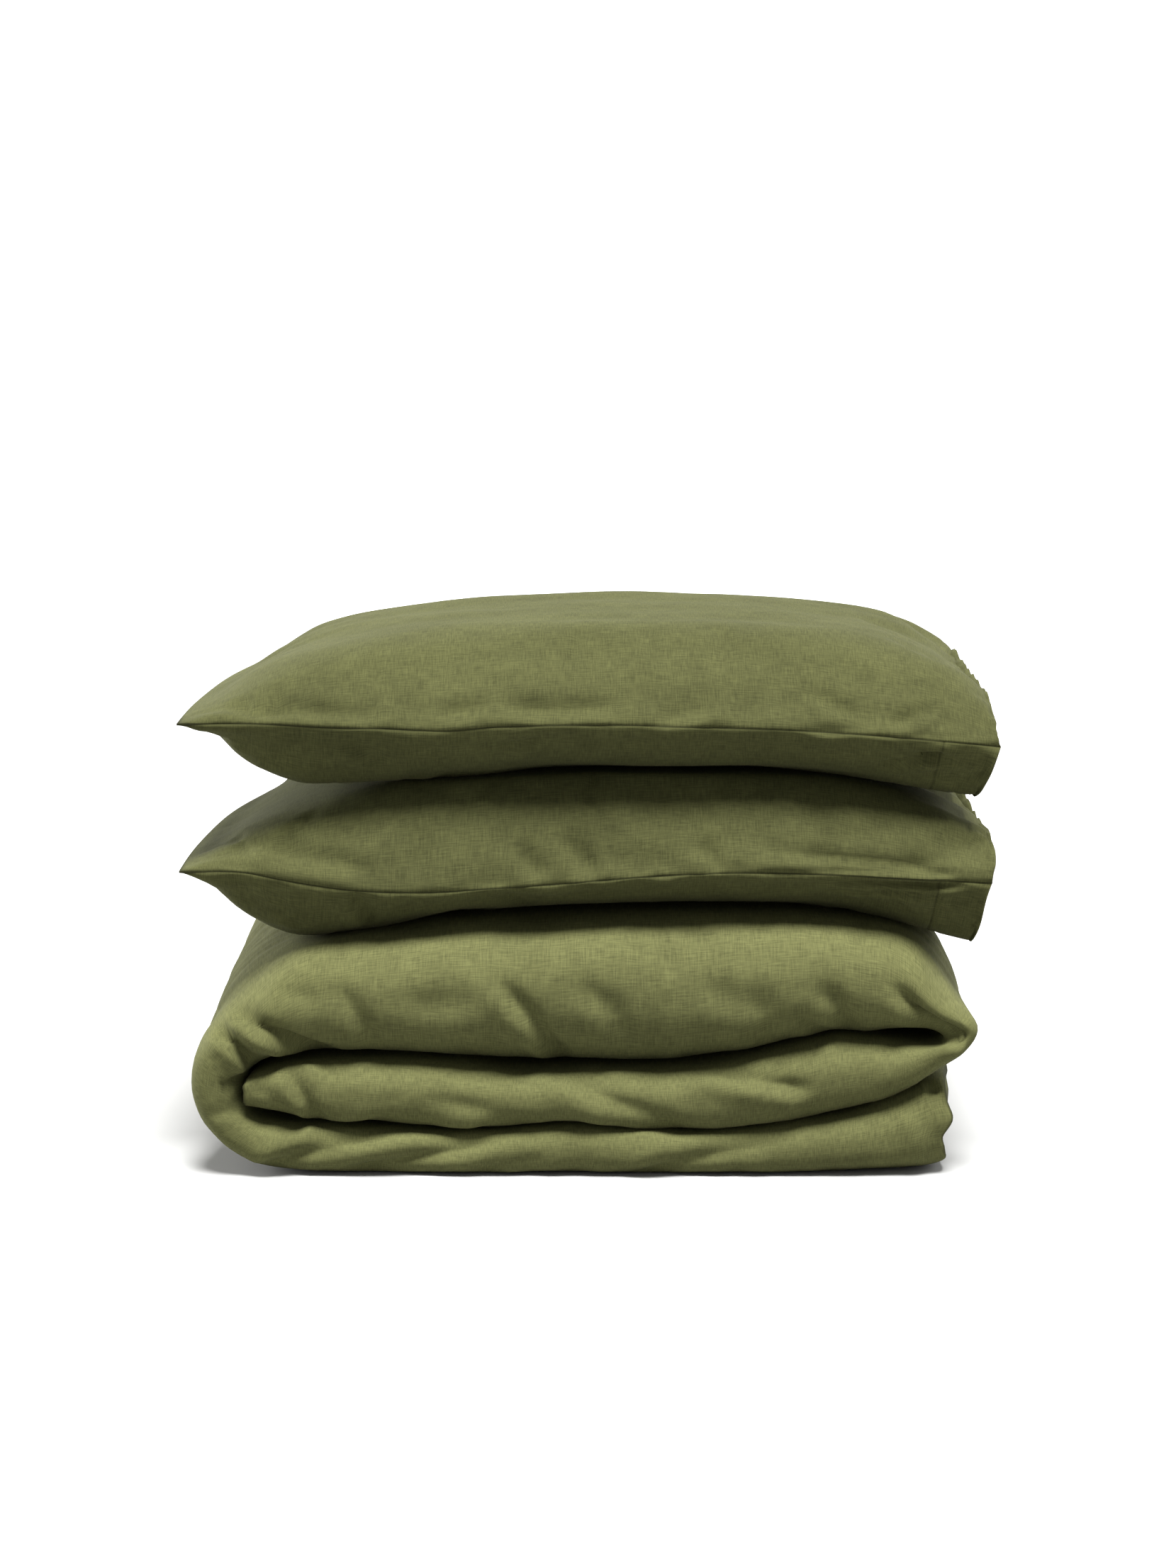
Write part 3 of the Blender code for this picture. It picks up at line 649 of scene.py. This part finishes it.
inflation = {
    "steps": 20,
    "cap": 5 * mm,
    "start": 3.0 * mm,      # how far inside its shape the cloth starts
    "cloth": {
        "quality": 5,
        "mass": 0.15,
        "tension_stiffness": 15,
        "compression_stiffness": 15,
        "shear_stiffness": 5,
        "bending_stiffness": 0.05,
        "shrink_min": -0.02,      # the linen is cut a little larger than it lies
        "use_pressure": True,
        "uniform_pressure_force": 1.5,
    },
}

# the far corner of the closed end lies further in, and so does the end between its corners
pillowPulls = (
    ((-0.365, 0.240, 0.33), (0.17, 0.14, 0.60), (0.060, 0, 0.008)),
    ((-0.365, 0.020, 0.33), (0.10, 0.13, 0.60), (0.008, 0, 0)),
)


def girthStations():
    # from a long seam to the middle: the angle of the rounding, then the share of the flat run
    fine = np.array([0, 0.010, 0.022, 0.045, 0.08, 0.13, 0.19])
    turn = np.concatenate([fine, np.linspace(0.26, math.pi / 2, 17)])
    flat = np.linspace(0, 1, 10)[1:]
    return [(angle, 0.0) for angle in turn] + [(math.pi / 2, share) for share in flat]


def pillowRing(shape, caseLow, caseHigh, x):
    # one cross-section, as (y, z) all the way round
    low, high = caseLow[0], caseHigh[0]
    fromEnd, fromMouth = x - low, high - x
    halfWidth = (caseHigh[1] - caseLow[1]) / 2
    halfWidth -= pillow["sidePull"] * math.sin(math.pi * fromEnd / (high - low)) ** 0.7
    seam = float(curveThrough(shape["seam"], x))
    openness = float(rounded(fromMouth, pillow["mouthReach"]))
    crest = float(curveThrough(shape["crest"], x))
    crest = shape["mouthTop"] + (crest - shape["mouthTop"]) * openness
    over, under = (float(curveThrough(pillow[k], fromEnd)) for k in ("topFill", "underFill"))
    topHeight = (crest - seam) * (over + shape["topPuff"] * over * (1 - over))
    drop = (seam - float(curveThrough(shape["bottom"], x)))
    drop *= under + shape["underPuff"] * under * (1 - under)
    underRound = pillow["underRound"] - 0.025 * math.exp(-(fromEnd / 0.12) ** 2)
    topRound = shape["mouthRound"] + (shape["topRound"] - shape["mouthRound"]) * openness
    top, below = ([(reach * (1 - math.cos(angle)) + (halfWidth - reach) * share,
                    seam + height * math.sin(angle)) for angle, share in girthStations()]
                  for height, reach in ((topHeight, topRound), (-drop, underRound)))
    points = [(-halfWidth + inward, z) for inward, z in top]
    points += [(halfWidth - inward, z) for inward, z in top[-2::-1]]
    points += [(halfWidth - inward, z) for inward, z in below[1:]]
    points += [(-halfWidth + inward, z) for inward, z in below[-2:0:-1]]
    return np.array(points)


def inflate(points, pinned, ease):
    # the case blown up a little from inside as cloth, with its seams and ends held; ease keeps the
    # movement small next to them
    n, m = points.shape[:2]
    mesh = bpy.data.meshes.new("inflating")
    mesh.from_pydata(points.reshape(-1, 3), [], quads(np.arange(n * m).reshape(n, m), closed=True))
    piece = bpy.data.objects.new("inflating", mesh)
    bpy.context.scene.collection.objects.link(piece)
    held = piece.vertex_groups.new(name="held")
    held.add([int(i) for i in np.flatnonzero(pinned)], 1.0, "REPLACE")
    modifier = piece.modifiers.new("cloth", "CLOTH")
    settings = modifier.settings
    for label, value in inflation["cloth"].items():
        setattr(settings, label, value)
    settings.vertex_group_mass = "held"
    settings.effector_weights.gravity = 0
    modifier.collision_settings.use_collision = False
    scene = bpy.context.scene
    for step in range(1, inflation["steps"] + 1):
        scene.frame_set(step)
    settled = piece.evaluated_get(bpy.context.evaluated_depsgraph_get()).to_mesh()
    moved = np.empty(n * m * 3, "f")
    settled.vertices.foreach_get("co", moved)
    bpy.data.objects.remove(piece)
    scene.frame_set(1)
    shift = moved.reshape(n, m, 3) - points
    length = np.maximum(np.linalg.norm(shift, axis=2, keepdims=True), 1e-9)
    cap = inflation["cap"]
    print("inflated: mean", float(length.mean()) / mm, "mm, most", float(length.max()) / mm, "mm")
    return points + shift * (cap * np.tanh(length / cap) / length) * ease[..., None]


def wrinklePillow(points, shape, fromEnd, overSeam, nearSide, hem):
    # how far the case stands out from its smooth shape at each point
    seed = shape["seed"]
    rise = pillow["rough"] * softNoise(points, 0.11, seed)
    rise += pillow["middle"] * softNoise(points, 0.040, seed + 3, (2.6, 1, 0.8))
    rise += pillow["small"] * softNoise(points, 0.016, seed + 5, (2.2, 1, 0.8))
    # puckers along the long seams, and pleats that run in from the closed end
    rise += (nearSide * np.exp(-overSeam / 0.012) * pillow["pucker"]
             * softNoise(points, 0.008, seed + 7, (1, 4, 4)))
    rise += (np.exp(-fromEnd[:, None] / 0.06) * pillow["endPleat"]
             * softNoise(points, 0.013, seed + 9, (6, 1, 6)))
    rise -= nearSide * pillow["seamSink"] * np.exp(-(overSeam / (1.1 * mm)) ** 2)
    rise -= pillow["hemSink"] * hem
    # soft folds that start at the long seams
    folds = nearSide * softStep(overSeam, 0, 0.006) * np.exp(-overSeam / 0.035)
    rise += folds * pillow["fold"] * softNoise(points, 0.024, seed + 11, (1.4, 1, 1))
    atFront = nearSide * (points[..., 1] < 0)
    rise += atFront * creaseDepth(points[..., 0], points[..., 2], shape["creases"])
    # short level wrinkles at the seam near the mouth
    level = nearSide * np.exp(-overSeam / 0.018) * softStep(points[..., 0], 0.13, 0.22)
    rise += level * pillow["mouthFold"] * softNoise(points, 0.0075, seed + 13, (7, 1, 1))
    return rise * softStep(fromEnd[:, None], 0.0, 0.02)


def makePillow(name):
    shape, body = pillows[name], name + "_pillow"
    low, high = (np.array(corner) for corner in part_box(body + "_case_top"))
    hemX = high[0] - pillow["hem"]
    xs = np.concatenate([low[0] + np.array([0, 0.0015, 0.004, 0.008]),
                         spaced(low[0] + 0.013, hemX - 0.004, pillow["step"]),
                         hemX + np.array([-0.0018, -0.0009, 0, 0.0009, 0.0018]),
                         spaced(hemX + 0.004, high[0] - 0.006, pillow["step"]),
                         high[0] - np.array([0.004, 0.002, 0.0007, 0])])
    rings = np.stack([pillowRing(shape, low, high, x) for x in xs])
    n, m = rings.shape[:2]
    points = np.concatenate([np.broadcast_to(xs[:, None, None], (n, m, 1)), rings], axis=2).copy()
    half = len(girthStations())
    frontSeam, backSeam = 0, 2 * half - 2
    seamZ = points[:, frontSeam, 2][:, None]
    # at the mouth the under panel's edge runs in as it goes down
    nearMouth = softStep(points[..., 0], high[0] - 0.12, high[0])
    below = np.maximum(seamZ - points[..., 2], 0)
    points[..., 0] -= nearMouth * below * pillow["lipSlant"]
    points = pullFold(points, pillowPulls + shape["pulls"])
    fromEnd = xs - low[0]
    isTop = np.arange(m) <= backSeam
    girth = np.concatenate([[0], np.cumsum(
        np.linalg.norm(np.diff(points[n // 2], axis=0), axis=1))])
    outward = gridNormals(points, closed=True)
    centre = points.mean(axis=1, keepdims=True)
    if np.sum(outward[n // 2] * (points[n // 2] - centre[n // 2])) < 0:
        outward = -outward
    nearSeam = np.zeros((n, m), bool)
    nearSeam[:, [frontSeam, frontSeam + 1, m - 1, backSeam - 1, backSeam, backSeam + 1]] = True
    nearSeam[:5] = nearSeam[-2:] = True
    across = np.abs(points[..., 2] - seamZ)
    ease = softStep(fromEnd, 0.0, 0.06)[:, None] * softStep(across, 0.0, 0.022)
    inward = inflation["start"] * ease * ~nearSeam
    points = inflate(points - outward * inward[..., None], nearSeam, ease)
    print(name, "pillow case inflated")
    overSeam = np.abs(points[..., 2] - seamZ)
    nearSide = softStep(np.abs(points[..., 1]), 0.17, 0.22)
    hem = np.exp(-((xs[:, None] - hemX) / (1.1 * mm)) ** 2) * (points[..., 2] < seamZ)
    points += outward * wrinklePillow(points, shape, fromEnd, overSeam, nearSide, hem)[..., None]
    # at the end seam top and underside lie on each other
    ear = 0.8 * mm * np.where(isTop, 1, -1)[None, :]
    ear = np.where((np.arange(m) == frontSeam) | (np.arange(m) == backSeam), 0, ear)
    points[..., 2] += ear * (1 - softStep(fromEnd, 0.0, 0.03))[:, None]

    # flat where it rests on what is below, and where something rests on it
    floor = curveThrough(shape["bottom"], points[..., 0]) + pillow["rest"]
    points[..., 2] = np.maximum(points[..., 2], floor)
    if "above" in shape:
        ceiling = curveThrough(pillows[shape["above"]]["bottom"], points[..., 0]) - pillow["rest"]
        points[..., 2] = np.minimum(points[..., 2], ceiling)

    # the lip turns in at the mouth, and the cloth has an inner side all the way to the ear
    lined = np.flatnonzero(fromEnd > 0.035)[::-1]
    inner = points[lined] - outward[lined] * pillow["wall"]
    lip = (points[-1] + inner[0]) / 2 + [0.6 * mm, 0, 0]
    skin = np.concatenate([points, lip[None], inner])
    rows = len(skin)
    index = np.arange(rows * m).reshape(rows, m)
    faces = quads(index, closed=True)
    for ring in (index[0], index[-1][np.arange(0, -m, -1) % m]):
        # an end closed flat, from the front seam to the back one
        left, right = ring[:backSeam + 1], ring[np.arange(0, backSeam - m - 1, -1) % m]
        faces.append([int(a) for a in (left[0], right[1], left[1])])
        faces += [[int(a) for a in (left[i], right[i], right[i + 1], left[i + 1])]
                  for i in range(1, backSeam - 1)]
        faces.append([int(a) for a in (left[-2], right[-2], left[-1])])
    along = np.concatenate([xs, xs[-1:], xs[lined]])
    cloth = np.stack([np.repeat(along[:, None], m, 1), np.repeat(girth[None, :], rows, 0),
                      np.zeros((rows, m))], axis=-1).reshape(-1, 3)
    # painted shade along the long seams and the hem line, for the shadow in their grooves
    seamGroovePaintedShade = nearSide * np.exp(-(overSeam / (0.6 * mm)) ** 2)
    shade = np.maximum(seamGroovePaintedShade, 0.5 * hem)
    shade = np.concatenate([shade, np.zeros((rows - n, m))]).ravel()
    case = newPiece(name + "PillowCase", skin.reshape(-1, 3), faces, shadedPillowLinen, body,
                    {"cloth": cloth + shape["seed"], "seam": shade})
    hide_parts(body + "_case_top", body + "_case_under")
    makeFlap(name, body, points, outward, xs, backSeam)
    makeTicking(name, body, points, xs, seamZ)
    print(name, "pillow case:", len(skin) * m, "vertices")


flap = {
    "halfWidth": 0.215,
    "lip": 0.004,           # from the mouth to the fold under the top panel
    "foot": 0.045,          # from the mouth to where the flap reaches the under panel
    "reach": 0.200,
    "clearance": 1.2 * mm,
    "halfCloth": 0.4 * mm,
}


def makeFlap(name, body, points, outward, xs, backSeam):
    # a strip of the same linen from the top panel's lip, down to the under panel and along it
    inside = points - outward * pillow["wall"] * 2
    high = xs[-1]
    ys = np.linspace(-flap["halfWidth"], flap["halfWidth"], 60)
    rows = [high - d for d in np.concatenate([np.linspace(flap["lip"], flap["foot"], 12),
                                              np.linspace(flap["foot"] + 0.010, flap["reach"], 24)])]
    sheetRows = []
    for x in rows:
        here = np.argmin(np.abs(xs - x))
        top, under = inside[here, 1:backSeam], inside[here, :backSeam:-1]
        topZ = np.interp(ys, top[:, 1], top[:, 2]) - flap["clearance"]
        underZ = np.interp(ys, under[:, 1], under[:, 2]) + flap["clearance"]
        down = softStep(high - x, 0.002, flap["foot"] + 0.002)
        z = np.minimum(underZ + (topZ - underZ) * (1 - down), topZ)
        sheetRows.append(np.stack([np.full_like(ys, x), ys, z], axis=1))
    middle = np.stack(sheetRows)
    normal = gridNormals(middle)
    normal = np.where(normal[..., 2:] < 0, -normal, normal)
    vertices, faces = closedSheet(middle + normal * flap["halfCloth"],
                                  middle - normal * flap["halfCloth"])
    piece = newPiece(name + "PillowFlap", vertices, faces, shadedPillowLinen, body,
                     {"cloth": vertices + 5, "seam": np.zeros(len(vertices))})
    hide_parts(body + "_case_flap")


ticking = {
    "fromEnd": 0.036,       # from the case's closed end
    "fromMouth": 0.058,
    "taper": 0.050,
    "width": 0.955,         # shares of the case's width and height
    "endWidth": 0.925,
    "height": 0.86,
}


def makeTicking(name, body, points, xs, seamZ):
    # the pillow inside its case, a little smaller all round
    low, high = xs[0] + ticking["fromEnd"], xs[-1] - ticking["fromMouth"]
    rows = np.flatnonzero((xs > low) & (xs < high))[::2]
    full = rounded(np.minimum(xs[rows] - low, high - xs[rows]) + 0.8 * mm, ticking["taper"])[:, None]
    bag = points[rows][:, ::2].copy()
    bag[..., 1] *= ticking["width"] - (ticking["width"] - ticking["endWidth"]) * (1 - full)
    above = bag[..., 2] - seamZ[rows]
    bag[..., 2] = seamZ[rows] + above * ticking["height"] * full
    n, m = bag.shape[:2]
    index = np.arange(n * m).reshape(n, m)
    faces = quads(index, closed=True) + [index[0][::-1].tolist(), index[-1].tolist()]
    piece = newPiece(name + "PillowTicking", bag.reshape(-1, 3), faces, cottonTicking, body)
    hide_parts(*(f"{body}_{part}" for part in ("ticking_top", "ticking_under", "filling")))


makeDuvet()
for pillowName in pillows:
    makePillow(pillowName)

for label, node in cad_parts.items():
    if label.startswith("cover_button"):
        node.data.materials.clear()
        node.data.materials.append(corozo)


studio = {
    "key": 12.0,
    "keySpread": 24,
    "keyTilt": (17, 4),     # degrees towards the front and the right from straight above
    "rims": (((-2.2, 0.9, 0.35), 110), ((2.5, 1.4, 1.1), 50)),    # place and watts
    "fill": 0.02,
    "paper": "#989897",
    "wallGlow": 1.0,
    "dimGlow": 0.28,
    "eyeDistance": 3.65,
    "elevation": 9.0,
    "aim": (-0.0005, 0.0, 0.309),
    "focal": 121.0,
}


def makeStudio():
    # a pale floor that turns up into a wall all round
    profile = [(0.01, 0), (4, 0)] + [(5 + 1.5 * math.sin(a), 1.5 - 1.5 * math.cos(a))
                                     for a in np.linspace(0, math.pi / 2, 12)] + [(6.5, 8)]
    turns = np.linspace(0, 2 * math.pi, 49)[:-1]
    vertices = [(r * math.sin(a), r * math.cos(a), z) for r, z in profile for a in turns]
    index = np.arange(len(vertices)).reshape(len(profile), len(turns))
    mesh = bpy.data.meshes.new("paperSweep")
    mesh.from_pydata(vertices, [], [f[::-1] for f in quads(index, closed=True)]
                     + [index[0].tolist()])
    mesh.shade_smooth()
    # the wall glows behind the stack and dims towards the front, in even grades
    grades = 8
    glows = [0.0] + [studio["dimGlow"] + (studio["wallGlow"] - studio["dimGlow"]) * i / (grades - 1)
                     for i in range(grades)]
    for number, glow in enumerate(glows):
        paper = newMaterial(f"paper{number}")
        shader = addNode(paper, "BsdfPrincipled",
                         {"Base Color": linearColour(studio["paper"]), "Roughness": 1.0,
                          "Specular IOR Level": 0.0, "Emission Color": (1, 1, 1, 1),
                          "Emission Strength": glow})
        mesh.materials.append(finishMaterial(paper, shader))
    for face in mesh.polygons:
        if face.center.xy.length > 4.1:
            face.material_index = 1 + round((grades - 1) * float(softStep(face.center.y, -4.0, 1.5)))
    sweep = bpy.data.objects.new("paperSweep", mesh)
    bpy.context.scene.collection.objects.link(sweep)

    world = bpy.data.worlds.new("studioWorld")
    world.use_nodes = True
    world.node_tree.nodes["Background"].inputs["Color"].default_value = (1, 1, 1, 1)
    world.node_tree.nodes["Background"].inputs["Strength"].default_value = studio["fill"]
    bpy.context.scene.world = world

    key = bpy.data.objects.new("overheadSoftbox", bpy.data.lights.new("overheadSoftbox", "SUN"))
    key.data.energy = studio["key"]
    key.data.angle = math.radians(studio["keySpread"])
    key.rotation_euler = [math.radians(a) for a in studio["keyTilt"]] + [0]
    bpy.context.scene.collection.objects.link(key)

    for place, watts in studio["rims"]:
        rim = bpy.data.objects.new("rimSoftbox", bpy.data.lights.new("rimSoftbox", "AREA"))
        rim.data.size = 1.8
        rim.data.energy = watts
        rim.location = place
        rim.rotation_euler = (Vector((0, 0, 0.2)) - rim.location).to_track_quat("-Z", "Y").to_euler()
        bpy.context.scene.collection.objects.link(rim)

    camera = bpy.data.objects.new("camera", bpy.data.cameras.new("camera"))
    camera.data.sensor_fit = "HORIZONTAL"
    camera.data.sensor_width = 36
    camera.data.lens = studio["focal"]
    camera.data.clip_end = 100
    tilt = math.radians(studio["elevation"])
    aim, distance = Vector(studio["aim"]), studio["eyeDistance"]
    camera.location = aim + Vector((0, -distance * math.cos(tilt), distance * math.sin(tilt)))
    camera.rotation_euler = (math.pi / 2 - tilt, 0, 0)
    bpy.context.scene.collection.objects.link(camera)
    bpy.context.scene.camera = camera
    bpy.context.scene.view_settings.view_transform = "Standard"


makeStudio()
print("studio made")
